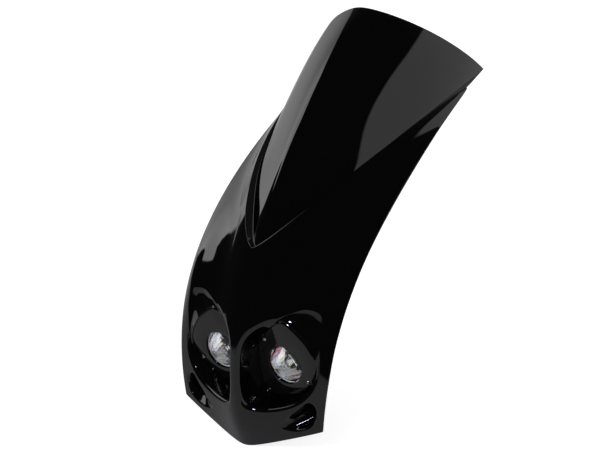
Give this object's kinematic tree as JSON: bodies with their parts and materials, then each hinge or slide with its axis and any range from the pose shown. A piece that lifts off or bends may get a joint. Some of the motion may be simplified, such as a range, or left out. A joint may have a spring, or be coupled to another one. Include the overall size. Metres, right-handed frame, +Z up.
{
  "type": "front fairing",
  "caption": "Pointed one-piece motorcycle front fairing with a stepped V screen form, cat-eye lamp recesses with round reflector lamps, and blind scoops under them.",
  "frame": {"origin": "centre of the bounding box's underside", "axes": "+Z up, -Y towards the front of the motorcycle, and +X to the right of a viewer in front of it, which is also what left and right mean in piece names"},
  "size_m": [0.2594, 0.4418, 0.4725],
  "materials": {
    "black_gelcoat": "high gloss black gelcoat over glass-fibre laminate",
    "black_plate": "gloss black sheet",
    "dichroic_glass": "faceted dichroic mirror coat on pressed glass",
    "clear_glass": "clear",
    "quartz": "clear",
    "steatite": "fired ceramic, unglazed",
    "nickel_steel": "bright nickel plate",
    "zinc_steel": "zinc plate",
    "black_nylon": "moulded, matte",
    "filled_resin": "cast, matte"
  },
  "bodies": {
    "root": {"fairing_shell": "black_gelcoat", "left_lamp_plate": "black_plate", "right_lamp_plate": "black_plate", "left_reflector": "dichroic_glass", "right_reflector": "dichroic_glass", "left_front_glass": "clear_glass", "right_front_glass": "clear_glass", "left_bulb_capsule": "quartz", "right_bulb_capsule": "quartz", "left_lamp_base": "steatite", "right_lamp_base": "steatite", "left_lamp_holder": "steatite", "right_lamp_holder": "steatite", "left_pin_a": "nickel_steel", "left_pin_b": "nickel_steel", "right_pin_a": "nickel_steel", "right_pin_b": "nickel_steel", "left_retaining_ring": "black_nylon", "right_retaining_ring": "black_nylon", "left_ring_screw_a": "zinc_steel", "left_ring_screw_b": "zinc_steel", "left_ring_screw_c": "zinc_steel", "right_ring_screw_a": "zinc_steel", "right_ring_screw_b": "zinc_steel", "right_ring_screw_c": "zinc_steel", "left_plate_screw_a": "zinc_steel", "left_plate_screw_b": "zinc_steel", "right_plate_screw_a": "zinc_steel", "right_plate_screw_b": "zinc_steel", "left_plate_nut_a": "zinc_steel", "left_plate_nut_b": "zinc_steel", "right_plate_nut_a": "zinc_steel", "right_plate_nut_b": "zinc_steel", "left_fixing_boss_lower": "filled_resin", "left_fixing_boss_upper": "filled_resin", "right_fixing_boss_lower": "filled_resin", "right_fixing_boss_upper": "filled_resin"}
  },
  "joints": []
}
